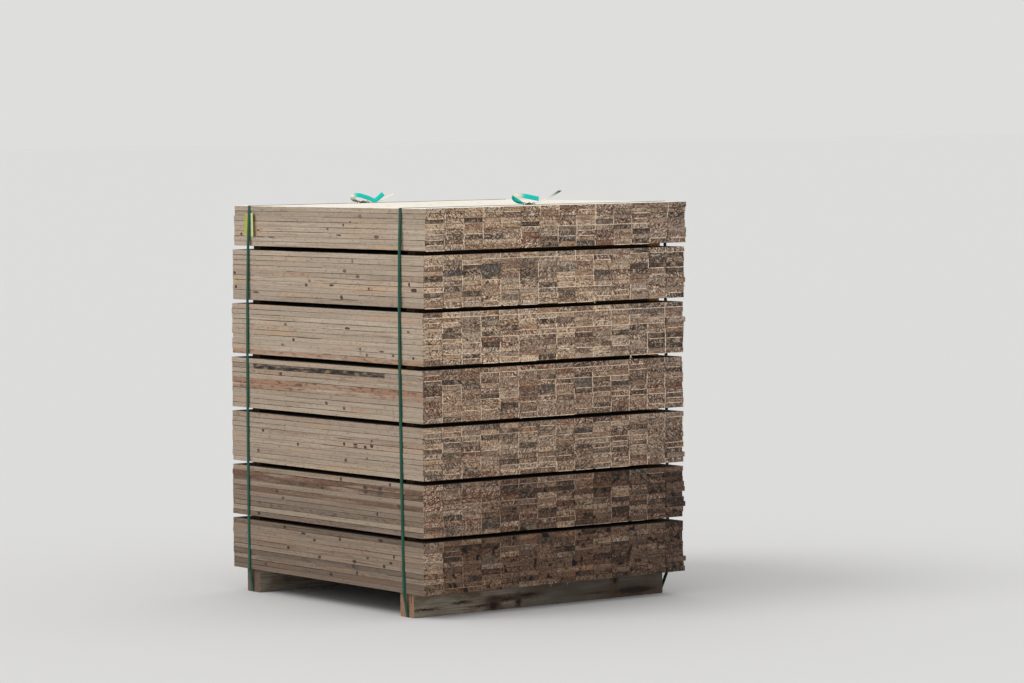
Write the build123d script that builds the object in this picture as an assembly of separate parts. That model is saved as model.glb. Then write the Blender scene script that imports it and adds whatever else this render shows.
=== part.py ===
"""A strapped pack of pallet boards on two bearers.

The boards lie with their length along Y. X runs across the pack and Z is up.
The origin is at the middle of the pack's footprint, on the ground.
"""
from build123d import *
from dataclasses import dataclass
import math
import os
import random

# Boards: sawn softwood, laid flat
BOARD_LENGTH = 1200.0
BOARD_WIDTH = 78.0
BOARD_THICKNESS = 17.5
BOARDS_ACROSS = 14

# Tiers, lowest first: the rows of boards in each, and how far each has slid along X
TIER_ROWS = [10, 10, 10, 10, 10, 10, 8]
TIER_SLIP = [-9.0, -8.0, -6.0, -4.0, 0.0, 6.0, 14.0]

# Looseness of the pack
ROW_GAP = 0.2
SIDE_GAP_MIN = 0.2
SIDE_GAP_MAX = 0.9
END_STAGGER = 2.2
ROW_STAGGER = 1.0
SIDE_STAGGER = 0.8
LAST_BOARD_STRAY = 12.0
STRAY_RARITY = 4

# How far the rows laid last, on the top tier, have slid along Y towards the front
LAST_ROW_SLIDES = [4.0, 7.0]

# Air left between pieces that rest on each other
SEAT_GAP = 0.3

# Laths between the tiers
LATH_WIDTH = 45.0
LATH_THICKNESS = 14.0
LATH_LENGTH = 1040.0

# Bearers under the pack
BEARER_LENGTH = 1058.0
BEARER_WIDTH = 80.0
BEARER_HEIGHT = 82.0
BEARER_ARRIS = 2.5
BEARER_SHIFT = -18.0
FRONT_BEARER_SETBACK = 121.0
REAR_BEARER_SETBACK = 112.0

# Straps
STRAP_WIDTH = 16.0
STRAP_THICKNESS = 0.9
STRAP_CORNER_RADIUS = 1.2
STRAP_GROOVE_DEPTH = 1.4
STRAP_GROOVE_CLEARANCE = 0.6

# How far each strap lies from its end of the pack, and its lean along Y per metre across and up
FRONT_STRAP_SETBACK = 122.0
FRONT_STRAP_DRIFT_ACROSS = -16.0
FRONT_STRAP_DRIFT_UP = 19.0
REAR_STRAP_SETBACK = 114.0
REAR_STRAP_DRIFT_ACROSS = -12.0
REAR_STRAP_DRIFT_UP = 0.0

# Wire buckles on top
WIRE_DIAMETER = 2.6
WIRE_SIDES = 6
BUCKLE_LENGTH = 34.0
BUCKLE_BAR_SPACING = 8.0
BUCKLE_HUMP = 4.5
FRONT_BUCKLE_X = -9.0
REAR_BUCKLE_X = -56.0

# Free ends of each strap: distance from the buckle's middle along X, height above the boards, bend radius
LOOSE_BEND = 6.0
FOLD = 2.5
FRONT_LOOP_END = [(-29, 5.4, LOOSE_BEND), (-60, 26, FOLD), (-57, 33, FOLD), (-14, 30, LOOSE_BEND),
                  (42, 18, LOOSE_BEND)]
FRONT_TAIL = [(23, 5.6, LOOSE_BEND), (51, 11.5, LOOSE_BEND), (99, 29, LOOSE_BEND), (136, 47, LOOSE_BEND)]
REAR_LOOP_END = [(-28, 5.4, LOOSE_BEND), (-58, 18, FOLD), (-55, 25, FOLD), (-22, 26, LOOSE_BEND),
                 (20, 16, LOOSE_BEND), (47, 8, LOOSE_BEND), (82, 32, LOOSE_BEND)]
REAR_TAIL = [(23, 5.2, LOOSE_BEND), (66, 5.2, LOOSE_BEND), (108, 22, LOOSE_BEND), (134, 29, LOOSE_BEND)]

# The straight left between the two bends of a strap where it turns back round a bar
STRAIGHT_AT_BAR = 0.08

# Blank tag held under the rear strap: its near half curls away from the boards and its far half hardly does
TAG_WIDTH = 72.0
TAG_HEIGHT = 84.0
TAG_THICKNESS = 0.5
TAG_NEAR_CURL = 9.0
TAG_FAR_CURL = 1.5
TAG_BELOW_TOP = 25.0

PACK_WIDTH = BOARDS_ACROSS * BOARD_WIDTH + (BOARDS_ACROSS - 1) * (SIDE_GAP_MIN + SIDE_GAP_MAX) / 2
STRAP_CENTRE = SEAT_GAP + STRAP_THICKNESS / 2


def tier_height(tier):
    """From the underside of a tier's lowest boards to the top of its highest."""
    rows = TIER_ROWS[tier]
    return rows * BOARD_THICKNESS + (rows - 1) * ROW_GAP


def tier_underside(tier):
    """The lowest tier seats on the bearers, and each other tier on the laths below it."""
    below = sum(tier_height(lower) + LATH_THICKNESS + 2 * SEAT_GAP for lower in range(tier))
    return BEARER_HEIGHT + SEAT_GAP + below


def pack_top():
    """The upper face of the top tier."""
    top_tier = len(TIER_ROWS) - 1
    return tier_underside(top_tier) + tier_height(top_tier)


def row_slide(tier, row):
    """How far a row has slid along Y: only the rows laid last have, on the top tier."""
    from_last = row - TIER_ROWS[tier] + len(LAST_ROW_SLIDES)
    return -LAST_ROW_SLIDES[from_last] if tier == len(TIER_ROWS) - 1 and from_last >= 0 else 0.0


def tier_boards(tier):
    """The boards of one tier, laid side by side in rows with the small errors of a stacking machine."""
    chance = random.Random(tier)
    boards = []
    for row in range(TIER_ROWS[tier]):
        height = tier_underside(tier) + row * (BOARD_THICKNESS + ROW_GAP) + BOARD_THICKNESS / 2
        left = TIER_SLIP[tier] - PACK_WIDTH / 2 + chance.uniform(-SIDE_STAGGER, SIDE_STAGGER)
        row_end = row_slide(tier, row) + chance.uniform(-ROW_STAGGER, ROW_STAGGER)
        for column in range(BOARDS_ACROSS):
            last = column == BOARDS_ACROSS - 1
            stray = LAST_BOARD_STRAY * chance.random() ** STRAY_RARITY if last else 0.0
            end = row_end + chance.triangular(-END_STAGGER, END_STAGGER)
            place = Pos(left + stray + BOARD_WIDTH / 2, end, height)
            boards.append(place * Box(BOARD_WIDTH, BOARD_LENGTH, BOARD_THICKNESS))
            left += BOARD_WIDTH + chance.uniform(SIDE_GAP_MIN, SIDE_GAP_MAX)
    return boards


def spacer_lath(tier, middle_y):
    """A lath across the pack, on top of the given tier and over a bearer."""
    middle_z = tier_underside(tier) + tier_height(tier) + SEAT_GAP + LATH_THICKNESS / 2
    slip = (TIER_SLIP[tier] + TIER_SLIP[tier + 1]) / 2
    return Pos(slip, middle_y, middle_z) * Box(LATH_LENGTH, LATH_WIDTH, LATH_THICKNESS)


@dataclass
class Route:
    """Where one strap runs: its middle and lean along Y, its buckle along X, and its two free ends."""
    middle_y: float
    drift_across: float
    drift_up: float
    buckle_x: float
    loop_end: list
    tail: list

    def y_at(self, x, z):
        """Where the leaning strap's centreline lies along Y, at a place seen along Y."""
        above_middle = z - (BEARER_HEIGHT + pack_top()) / 2
        return self.middle_y + (self.drift_across * x + self.drift_up * above_middle) / 1000

    def slab(self, width):
        """All the space of that width that the leaning strap could fill, across and up the whole pack."""
        middle_z = (BEARER_HEIGHT + pack_top()) / 2
        tilt = (math.degrees(math.atan2(-self.drift_up, 1000)), 0,
                math.degrees(math.atan2(self.drift_across, 1000)))
        return Pos(0, self.middle_y, middle_z) * Rot(*tilt) * Box(2 * PACK_WIDTH, width, 2 * pack_top())


def bearer(middle_y, route):
    """A sawn bearer with broken long edges and a shallow groove underneath for the strap."""
    block = Pos(BEARER_SHIFT, middle_y, BEARER_HEIGHT / 2) * Box(BEARER_LENGTH, BEARER_WIDTH, BEARER_HEIGHT)
    block = chamfer(block.edges().filter_by(Axis.X), BEARER_ARRIS)
    groove = Pos(0, middle_y, 0) * Box(2 * BEARER_LENGTH, 2 * BEARER_WIDTH, 2 * STRAP_GROOVE_DEPTH)
    return block - (route.slab(STRAP_WIDTH + 2 * STRAP_GROOVE_CLEARANCE) & groove)


def corners_around(box):
    """The corners, as seen along Y, of a bounding box grown by the distance to the strap's centreline."""
    low, high = box.min - Vector(STRAP_CENTRE, 0, STRAP_CENTRE), box.max + Vector(STRAP_CENTRE, 0, STRAP_CENTRE)
    return [(low.X, low.Z), (high.X, low.Z), (high.X, high.Z), (low.X, high.Z)]


def corners_under_bearer():
    """The corners that a strap goes round below, in the groove of a bearer."""
    end = BEARER_LENGTH / 2 + STRAP_CENTRE
    return [(BEARER_SHIFT + side * end, STRAP_GROOVE_DEPTH - STRAP_CENTRE) for side in (-1, 1)]


def corners_over_tag(face_x):
    """Two points of a strap's line where it passes over the tag's flat middle."""
    x = face_x - SEAT_GAP - TAG_THICKNESS - STRAP_CENTRE
    top = pack_top() - TAG_BELOW_TOP
    return [(x, top), (x, top - TAG_HEIGHT)]


def tight_line(points):
    """The convex outline of points, from the top right corner over the top, left, bottom and right."""
    def turn(a, b, c):
        return (b[0] - a[0]) * (c[1] - a[1]) - (b[1] - a[1]) * (c[0] - a[0])

    def half(ordered):
        line = []
        for point in ordered:
            while len(line) > 1 and turn(line[-2], line[-1], point) <= 0:
                line.pop()
            line.append(point)
        return line[:-1]

    outline = half(sorted(set(points))) + half(sorted(set(points), reverse=True))
    top_right = max(range(len(outline)), key=lambda place: sum(outline[place]))
    return outline[top_right + 1:] + outline[:top_right + 1]


def strap(route, wrapped):
    """A flat strap pulled tight round the wrapped points, with both ends turned back at the buckle."""
    def free_end(stations):
        return [(route.buckle_x + x, pack_top() + z, radius) for x, z, radius in stations]

    turn_radius = WIRE_DIAMETER / 2 + SEAT_GAP + STRAP_THICKNESS / 2
    bend = turn_radius - STRAIGHT_AT_BAR / 2
    low = pack_top() + STRAP_CENTRE
    high = low + 2 * turn_radius
    left_turn = route.buckle_x - BUCKLE_BAR_SPACING / 2 + turn_radius
    right_turn = route.buckle_x + BUCKLE_BAR_SPACING / 2 - turn_radius
    line = free_end(reversed(route.loop_end))
    line += [(left_turn, high, bend), (left_turn, low, bend)]
    line += [(x, z, STRAP_CORNER_RADIUS) for x, z in tight_line(wrapped)]
    line += [(right_turn, low, bend), (right_turn, high, bend)]
    line += free_end(route.tail)
    path = FilletPolyline(*[(x, z) for x, z, radius in line], radius=[radius for x, z, radius in line[1:-1]])
    band = extrude(Plane.XZ * trace(path, STRAP_THICKNESS), amount=BOARD_LENGTH, both=True)
    return band & route.slab(STRAP_WIDTH)


def buckle(route):
    """A wire buckle: two wavy side rails joined by four cross bars."""
    wire = WIRE_DIAMETER / 2
    low = pack_top() + SEAT_GAP + STRAP_THICKNESS + SEAT_GAP + wire
    end, inner = BUCKLE_LENGTH / 2, BUCKLE_BAR_SPACING / 2
    crest = (end + inner) / 2
    rail_y = STRAP_WIDTH / 2 + SEAT_GAP + 2 * wire
    wave = [(-end, 0), (-crest, BUCKLE_HUMP), (-inner, 0), (inner, 0), (crest, BUCKLE_HUMP), (end, 0)]
    wires = []
    for side in (-1, 1):
        path = Polyline(*[(x, side * rail_y, low + z) for x, z in wave])
        start = Plane(path @ 0, z_dir=path % 0) * RegularPolygon(wire, WIRE_SIDES)
        wires.append(sweep(start, path=path, transition=Transition.RIGHT))
    for x in (-end, -inner, inner, end):
        bar = Plane.XZ * Pos(x, low) * RegularPolygon(wire, WIRE_SIDES)
        wires.append(extrude(bar, amount=rail_y, both=True))
    lean = math.degrees(math.atan2(route.drift_across, 1000))
    middle_y = route.y_at(route.buckle_x, pack_top())
    return Pos(route.buckle_x, middle_y, 0) * Rot(0, 0, lean) * wires[0].fuse(*wires[1:])


def tag(route, face_x):
    """A blank tag, flat under the strap. Each half leaves the strap flat and curls away to its free edge."""
    flat, edge = STRAP_WIDTH / 2, TAG_WIDTH / 2
    x = face_x - SEAT_GAP - TAG_THICKNESS / 2
    near = TangentArc((x, -flat), (x - TAG_NEAR_CURL, -edge), tangent=(0, -1))
    far = TangentArc((x, flat), (x - TAG_FAR_CURL, edge), tangent=(0, 1))
    section = trace(near + Line((x, -flat), (x, flat)) + far, TAG_THICKNESS)
    underside = pack_top() - TAG_BELOW_TOP - TAG_HEIGHT
    middle_y = route.y_at(face_x, underside + TAG_HEIGHT / 2)
    return Pos(0, middle_y, underside) * extrude(section, TAG_HEIGHT)


def build():
    """Every node's solids, by the node's name."""
    front_end, rear_end = -BOARD_LENGTH / 2, BOARD_LENGTH / 2
    front = Route(front_end + FRONT_STRAP_SETBACK, FRONT_STRAP_DRIFT_ACROSS, FRONT_STRAP_DRIFT_UP,
                  FRONT_BUCKLE_X, FRONT_LOOP_END, FRONT_TAIL)
    rear = Route(rear_end - REAR_STRAP_SETBACK, REAR_STRAP_DRIFT_ACROSS, REAR_STRAP_DRIFT_UP,
                 REAR_BUCKLE_X, REAR_LOOP_END, REAR_TAIL)
    bearer_places = {"front": front_end + FRONT_BEARER_SETBACK, "rear": rear_end - REAR_BEARER_SETBACK}

    tiers = [tier_boards(tier) for tier in range(len(TIER_ROWS))]
    pieces = {f"tier_{tier + 1}_boards": boards for tier, boards in enumerate(tiers)}
    for end, bearer_y in bearer_places.items():
        for tier in range(len(TIER_ROWS) - 1):
            pieces[f"spacer_{tier + 1}_{end}"] = [spacer_lath(tier, bearer_y)]

    near_face = min(board.bounding_box().min.X for board in tiers[-1])
    tier_corners = [corner for boards in tiers for corner in corners_around(Compound(boards).bounding_box())]
    wrapped = {"front": tier_corners + corners_under_bearer(),
               "rear": tier_corners + corners_under_bearer() + corners_over_tag(near_face)}
    for end, route in (("front", front), ("rear", rear)):
        pieces[f"bearer_{end}"] = [bearer(bearer_places[end], route)]
        pieces[f"strap_{end}"] = [strap(route, wrapped[end])]
        pieces[f"buckle_{end}"] = [buckle(route)]
    pieces["tag"] = [tag(rear, near_face)]
    return pieces


pieces = build()
whole = Compound([solid for solids in pieces.values() for solid in solids]).bounding_box()
to_origin = Pos(-whole.center().X, -whole.center().Y, -whole.min.Z)
print("moved to the origin by", to_origin.position)
os.makedirs("parts", exist_ok=True)
for name, solids in pieces.items():
    export_step(to_origin * Compound(solids), f"parts/{name}.step")
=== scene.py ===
import math
import random

import bmesh
import bpy
from mathutils import Matrix, Vector, noise


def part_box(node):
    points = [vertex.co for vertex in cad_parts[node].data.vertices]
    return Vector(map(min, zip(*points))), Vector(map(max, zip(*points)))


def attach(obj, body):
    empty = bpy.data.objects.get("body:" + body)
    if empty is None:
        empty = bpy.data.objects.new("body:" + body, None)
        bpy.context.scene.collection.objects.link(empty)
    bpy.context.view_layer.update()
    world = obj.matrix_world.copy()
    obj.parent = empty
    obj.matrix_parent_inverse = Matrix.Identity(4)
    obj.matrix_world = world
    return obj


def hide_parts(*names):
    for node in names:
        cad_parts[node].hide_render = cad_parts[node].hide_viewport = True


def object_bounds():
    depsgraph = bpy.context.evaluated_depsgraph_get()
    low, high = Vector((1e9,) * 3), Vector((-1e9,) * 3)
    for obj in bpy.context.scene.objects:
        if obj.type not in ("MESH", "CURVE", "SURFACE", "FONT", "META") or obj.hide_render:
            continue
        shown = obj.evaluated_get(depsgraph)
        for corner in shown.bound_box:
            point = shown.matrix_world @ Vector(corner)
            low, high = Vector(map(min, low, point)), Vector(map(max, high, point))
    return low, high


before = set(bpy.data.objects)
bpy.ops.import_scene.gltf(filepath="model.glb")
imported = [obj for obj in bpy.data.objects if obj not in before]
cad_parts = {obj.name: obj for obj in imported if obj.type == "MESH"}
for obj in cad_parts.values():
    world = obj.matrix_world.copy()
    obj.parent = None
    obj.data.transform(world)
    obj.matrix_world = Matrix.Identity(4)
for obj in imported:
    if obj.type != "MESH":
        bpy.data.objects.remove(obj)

# The CAD's box, taken before any piece of it is dressed
cad_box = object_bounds()
MM = 0.001


# Bearers
# Two posts of spruce, sawn square off the log and left rough. They lie across the pack near its
# ends and carry everything above. Each has a shallow groove underneath for its strap.

# How far apart a post can bend, how deep the saw's hollows in it are, how closely they follow, and where
# in the noise they are taken from
POST_STATION = 40 * MM
POST_HOLLOW = 0.9 * MM
HOLLOWS_PER_METRE = 9
HOLLOWS_FROM = Vector((0, 0, 5))

# The log's pith, and the drying crack in its end: how far behind the front face, the heights where it
# begins and is fully open, and half its width with and without its edge
POST_PITH = (0.0, -0.50, 0.02)
CRACK_FROM_FACE = 14 * MM
CRACK_FOOT, CRACK_OPEN = 44 * MM, 52 * MM
CRACK_EDGE, CRACK_HEART = 2.2 * MM, 1.0 * MM

# One ring of Blender's wave texture at a scale of 1
WAVE_TURN = math.pi / 10

# Knots on the post's long face: X and height of the middle in metres, length and height in mm
POST_KNOTS = [(-0.358, 0.037, 42, 5), (-0.268, 0.020, 60, 5), (-0.224, 0.016, 34, 34),
              (-0.205, 0.038, 60, 11), (-0.150, 0.034, 84, 9), (-0.085, 0.041, 80, 11),
              (-0.119, 0.018, 14, 30), (-0.505, 0.025, 60, 5), (0.296, 0.062, 18, 28),
              (0.227, 0.024, 84, 5), (0.385, 0.021, 180, 26)]

# How far the outline of a knot wanders along and up the post, and how deep the knot goes
KNOT_WANDER = (30 * MM, 0.0, 16 * MM)
KNOT_DEPTH = 60 * MM

# Corners this near are one corner, and a cut this near a corner goes through it
SAME_CORNER = 0.01 * MM
CUT_AT_CORNER = 0.001 * MM

# A face is square on to an axis when its normal has this much of it
SQUARE_ON = 0.9


def linear(colour):
    """An sRGB hex colour as linear red, green, blue and alpha."""
    channels = [int(colour[start:start + 2], 16) / 255 for start in (1, 3, 5)]
    return (*[c / 12.92 if c <= 0.04045 else ((c + 0.055) / 1.055) ** 2.4 for c in channels], 1.0)


def add(tree, kind, inputs=(), stops=(), **settings):
    """Adds a shader node. An input is a value, or the socket or node that feeds it."""
    made = tree.nodes.new("ShaderNode" + kind)
    for name, value in settings.items():
        setattr(made, name, value)
    for name, value in dict(inputs).items():
        if isinstance(value, bpy.types.Node):
            value = value.outputs[0]
        if isinstance(value, bpy.types.NodeSocket):
            tree.links.new(value, made.inputs[name])
        else:
            made.inputs[name].default_value = linear(value) if isinstance(value, str) else value
    for count, (position, colour) in enumerate(stops):
        elements = made.color_ramp.elements
        stop = elements[count] if count < 2 else elements.new(position)
        stop.position, stop.color = position, linear(colour)
    return made


def surface(name, roughness):
    """A material with one shader, at that roughness, and the object's own coordinates in metres."""
    material = bpy.data.materials.new(name)
    material.use_nodes = True
    tree = material.node_tree
    shader = tree.nodes["Principled BSDF"]
    shader.inputs["Roughness"].default_value = roughness
    return material, tree, shader, add(tree, "TexCoord").outputs["Object"]


def finish(tree, shader, tone, relief, strength, depth):
    """Gives the shader its colour, and the relief of its surface, that many metres deep."""
    tree.links.new(tone.outputs[0], shader.inputs["Base Color"])
    bump = add(tree, "Bump", {"Height": relief, "Strength": strength, "Distance": depth})
    tree.links.new(bump.outputs[0], shader.inputs["Normal"])


def grain(tree, where, across, along, axis, detail=4.0):
    """Grain along an axis: its streaks are that wide and long in mm, or specks where both are the same."""
    stretch = [1.0, 1.0, 1.0]
    stretch[axis] = across / along
    drawn = add(tree, "VectorMath", {0: where, 1: stretch}, operation="MULTIPLY")
    return add(tree, "TexNoise", {"Vector": drawn, "Scale": 1 / (across * MM), "Detail": detail})


def stain(tree, tone, *stains):
    """Lays stains over a tone. Each has its colour and its pattern, the levels of the pattern that give none
    and the most of the colour, and how much that most is."""
    for colour, pattern, none_at, full_at, most in stains:
        levels = {"Value": pattern, "From Min": none_at, "From Max": full_at, "To Max": most}
        amount = add(tree, "MapRange", levels, interpolation_type="SMOOTHSTEP")
        tone = add(tree, "MixRGB", {"Fac": amount, "Color1": tone, "Color2": colour})
    return tone


def copy_of(node):
    """The node's CAD mesh with its loose triangles joined into flat faces."""
    piece = bmesh.new()
    piece.from_mesh(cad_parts[node].data)
    bmesh.ops.remove_doubles(piece, verts=piece.verts, dist=SAME_CORNER)
    bmesh.ops.dissolve_limit(piece, angle_limit=math.radians(1), verts=piece.verts, edges=piece.edges)
    return piece


def cut_across(piece, places, axis):
    """Rings of edges round a piece, square to an axis, so that it can bend there."""
    normal = Vector([float(part == axis) for part in range(3)])
    for place in places:
        bmesh.ops.bisect_plane(piece, geom=piece.verts[:] + piece.edges[:] + piece.faces[:],
                               plane_co=normal * place, plane_no=normal, dist=CUT_AT_CORNER)


def show(piece, name, materials):
    """Makes the finished mesh an object of those materials."""
    mesh = bpy.data.meshes.new(name)
    piece.to_mesh(mesh)
    piece.free()
    for material in materials:
        mesh.materials.append(material)
    shown = bpy.data.objects.new(name, mesh)
    bpy.context.collection.objects.link(shown)
    return shown


def settle(piece, name, materials, slot, *nodes):
    """Shows the finished piece in place of its CAD nodes."""
    shown = show(piece, name, materials)
    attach(shown, "root")
    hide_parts(*nodes)
    return shown


# Rough-sawn spruce that has stood outdoors: grey over tan, with torn grain along its length, soft dirt
# and dark knots with the bark still round them. Away from its near end it is darkened by painted shade.
post_wood, tree, shader, where = surface("rough_sawn_spruce_post", 0.85)
fibres = grain(tree, where, 4, 130, 0)
tone = add(tree, "ValToRGB", {"Fac": fibres}, stops=[(0.3, "#72675A"), (0.5, "#8E8474"), (0.7, "#A89D8B")])
along_post = add(tree, "SeparateXYZ", {0: where}).outputs["X"]
# The last stain is painted shade, darker along the post away from its near end.
tone = stain(tree, tone, ("#6F5F4C", grain(tree, where, 50, 120, 0), 0.45, 0.7, 1.0),
             ("#3A2D22", grain(tree, where, 3, 90, 0, 2.0), 0.62, 0.70, 0.7),
             ("#4E473F", along_post, -0.36, 0.10, 0.75))
wander = grain(tree, where, 14, 14, 0, 3.0)
shift = add(tree, "VectorMath", {0: wander.outputs["Color"], 1: KNOT_WANDER}, operation="MULTIPLY")
bent = add(tree, "VectorMath", {0: where, 1: shift}, operation="ADD")
front_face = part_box("bearer_front")[0].y
for x, z, length, height in POST_KNOTS:
    middle = (x + KNOT_WANDER[0] / 2, front_face, z + KNOT_WANDER[2] / 2)
    shrink = (1 / (length * MM), 1 / KNOT_DEPTH, 1 / (height * MM))
    offset = add(tree, "VectorMath", {0: bent, 1: middle}, operation="SUBTRACT")
    offset = add(tree, "VectorMath", {0: offset, 1: shrink}, operation="MULTIPLY")
    far = add(tree, "VectorMath", {0: offset}, operation="LENGTH").outputs["Value"]
    tone = stain(tree, tone, ("#4A3829", far, 1.5, 0.5, 0.85), ("#20150E", far, 0.62, 0.25, 1.0))
finish(tree, shader, tone, fibres, 0.6, 1.5 * MM)

# The sawn end of the same post: redder than its sides, with ring arcs and one drying crack. The rear
# post's end is darker than the front one's.
post_end, tree, shader, where = surface("spruce_post_end_grain", 0.9)
from_pith = add(tree, "VectorMath", {0: where, 1: POST_PITH}, operation="SUBTRACT")
rings = add(tree, "TexWave", {"Vector": from_pith, "Scale": WAVE_TURN / (7 * MM), "Distortion": 1.5,
                              "Detail": 2.0}, wave_type="RINGS", rings_direction="X")
rough = grain(tree, where, 6, 6, 0, 4.0)
tone = add(tree, "ValToRGB", {"Fac": rings.outputs["Fac"]}, stops=[(0.1, "#A98468"), (0.9, "#83634A")])
parts = add(tree, "SeparateXYZ", {0: where})
crack_y = front_face + CRACK_FROM_FACE
from_crack = add(tree, "Math", {0: parts.outputs["Y"], 1: crack_y}, operation="SUBTRACT")
swerve = add(tree, "Math", {0: rough, 1: 6 * MM, 2: -3 * MM}, operation="MULTIPLY_ADD")
aside = add(tree, "Math", {0: from_crack, 1: swerve}, operation="ADD")
aside = add(tree, "Math", {0: aside}, operation="ABSOLUTE")
opened = add(tree, "MapRange", {"Value": parts.outputs["Z"], "From Min": CRACK_FOOT, "From Max": CRACK_OPEN})
# The last stain makes the rear post's end darker.
tone = stain(tree, tone, ("#5C4434", rough, 0.5, 0.68, 1.0),
             ("#1E140E", aside, CRACK_EDGE, CRACK_HEART, opened),
             ("#4C443B", parts.outputs["Y"], 0.0, 0.4, 0.7))
finish(tree, shader, tone, rough, 0.6, 1.5 * MM)

for end in ("front", "rear"):
    node = f"bearer_{end}"
    low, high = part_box(node)
    post = copy_of(node)
    for face in post.faces:
        face.material_index = int(abs(face.normal.x) > SQUARE_ON)
    steps = int((high.x - low.x) / POST_STATION)
    cut_across(post, [low.x + (step + 0.5) * POST_STATION for step in range(steps)], 0)
    middle = (low + high) / 2
    for vert in post.verts:
        hollow = POST_HOLLOW * (0.5 + 0.5 * noise.noise(vert.co * HOLLOWS_PER_METRE + HOLLOWS_FROM))
        vert.co.y -= math.copysign(hollow, vert.co.y - middle.y)
    settle(post, f"spruce_{node}", [post_wood, post_end], "bearers", node)


# Boards
# Seven tiers of sawn softwood pallet boards. They were resawn from small logs, cut to length in a
# bundle, and stacked flat. The cut leaves torn fibres on the ends, and the weather has greyed the wood.

ROWS_IN_TIER = {7: 8, 6: 10, 5: 10, 4: 10, 3: 10, 2: 10, 1: 10}
BOARDS_ACROSS = 14

# The log's length in metres, a board's distance from its pith in mm, and the width of a ring
LOG_LENGTH = 5
PITH_AWAY = (20, 110)
RING_WIDTH = 8 * MM

# A board's tone, times this, gives its end a slant and a raggedness of its own
OWN_TURNS = 17.0

# Where along it a board can bend, and how far its middle may lie aside and up
BOARD_CUTS = (-0.37, -0.2, 0.02, 0.25, 0.46)
CROOK = 0.5 * MM
LIFT = 0.08 * MM

# Arrises: how sharp one is before it wears, how far it wears, the tilt of one beside an end, and the noise
# under which such a one looks like the end
SHARP = math.radians(45)
WORN_ARRIS = 0.9 * MM
BESIDE_END = 0.3
DIRT_PER_METRE = 9
DIRTY_ARRIS_LEVEL = 0.15

# Torn lips: their size, their share of the board's width, the width of a tooth, how the teeth vary, and
# the noise over which a board has one. Then the fibres that hang.
LIP_REACH = 2.4 * MM
LIP_HEIGHT = 2.5 * MM
LIP_SHARE = (0.7, 0.99)
TOOTH = 7 * MM
TOOTH_REACH, TOOTH_HEIGHT = (0.2, 1.9), (0.15, 1.25)
LYING_LIP_LEVEL = 0.16
UPRIGHT_LIP_LEVEL = 0.02
UPRIGHT_LAYER = 9
FIBRE_TIP, FIBRE_ROOT = 0.3 * MM, 0.8 * MM
FIBRE_LEANS = (-0.35, 0.05, 0.4)

# Knots in the side: their relief, the sizes of bark and heart beside their own, how dark and uneven they
# are, and the turn that points a cone out of the side that shows
KNOT_RELIEF = 0.5 * MM
KNOT_BARK, KNOT_HEART = 1.5, 0.5
KNOT_DARKNESS = (0.5, 1.0)
KNOT_UNEVENNESS = (0.75, 1.25)
KNOT_FACING = Matrix(((0, 0, -1, 0), (-1, 0, 0, 0), (0, 1, 0, 0), (0, 0, 0, 1)))

# What each board carries, how far and how seldom that strays by chance, and the kinds that stand out
BOARD_VALUES = ("tone", "red", "dark", "blue", "painted_shade", "knotty")
REDDEST, DARKEST, BLUEST = 0.6, 0.9, 0.7
SELDOM, HARDLY_EVER = 5, 10
PALE = {"tone": 0.0}
RED = {"red": 1.0}
DARK = {"dark": 1.0}
BLUE = {"blue": 1.0}

# The painted shade on each tier, from none at 0, and how boards differ in it: the low tiers are painted
# darker, as the shade they stand in
TIER_SHADE = {7: 0.0, 6: 0.0, 5: 0.0, 4: 0.20, 3: 0.32, 2: 0.86, 1: 1.25}
SHADE_SPREAD = (0.4, 1.35)

# On the end that shows, painted shade: over how many near columns it grows to full, how much more the far
# corner has, and how dark the near boards' tone is, with what the far ones add
SHADE_RAMP_COLUMNS = {7: 1, 6: 1, 5: 1, 4: 1, 3: 3, 2: 6, 1: 2}
FAR_SHADE = 0.3
NEAR_TONE, FAR_TONE = 0.6, 0.6

# On the sides: their share of the painted shade, and on the one that shows the redness, the painted shade and
# how alike it is
SIDE_SHADE_SHARE = 0.82
SIDE_REDNESS = 0.1
SIDE_SHADE = 0.58
SIDE_EVENNESS = 0.6

# How red the heartwood makes the ends of each tier, and how far its torn lips have worn off at mid width:
# hardly at all at the near corner, and twice as far at the other
END_REDNESS = {7: 0.08, 6: 0.0, 5: 0.08, 4: 0.35, 3: 0.15, 2: 0.4, 1: 0.25}
LIPS_WORN = {7: 0.02, 6: 0.0, 5: 0.0, 4: 0.0, 3: 0.03, 2: 0.16, 1: 0.2}

# Boards that stand out on the end that shows: column from the near corner, first and last row from the top
END_MARKS = {
    7: [(4, 6, 6, BLUE), (8, 7, 7, BLUE), (9, 8, 8, BLUE), (6, 6, 7, RED), (10, 6, 8, RED), (11, 4, 4, RED),
        (12, 6, 6, DARK), (12, 8, 8, DARK), (6, 4, 4, DARK)],
    6: [(1, 5, 5, DARK), (2, 4, 4, BLUE), (3, 2, 2, PALE), (3, 3, 3, DARK), (4, 3, 4, BLUE), (4, 5, 5, PALE),
        (6, 4, 5, DARK), (10, 5, 5, BLUE), (12, 4, 5, DARK), (13, 3, 4, DARK), (14, 2, 2, DARK),
        (14, 4, 5, DARK)],
    5: [(2, 4, 4, DARK), (4, 6, 6, RED), (5, 7, 7, RED), (6, 5, 5, RED), (7, 10, 10, DARK), (13, 7, 9, DARK),
        (14, 7, 9, DARK)],
    4: [(14, 3, 3, DARK), (4, 6, 6, DARK), (5, 8, 8, DARK), (1, 2, 2, RED), (1, 4, 5, RED), (2, 3, 3, BLUE),
        (3, 6, 6, RED)],
    3: [(3, 5, 6, RED), (9, 3, 3, BLUE)],
    2: [(1, 2, 5, RED), (3, 2, 4, RED), (5, 3, 5, RED), (6, 2, 4, DARK), (8, 2, 3, DARK), (14, 2, 2, DARK),
        (14, 7, 8, DARK)],
    1: [(3, 2, 2, DARK), (14, 1, 1, DARK)],
}

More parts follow.
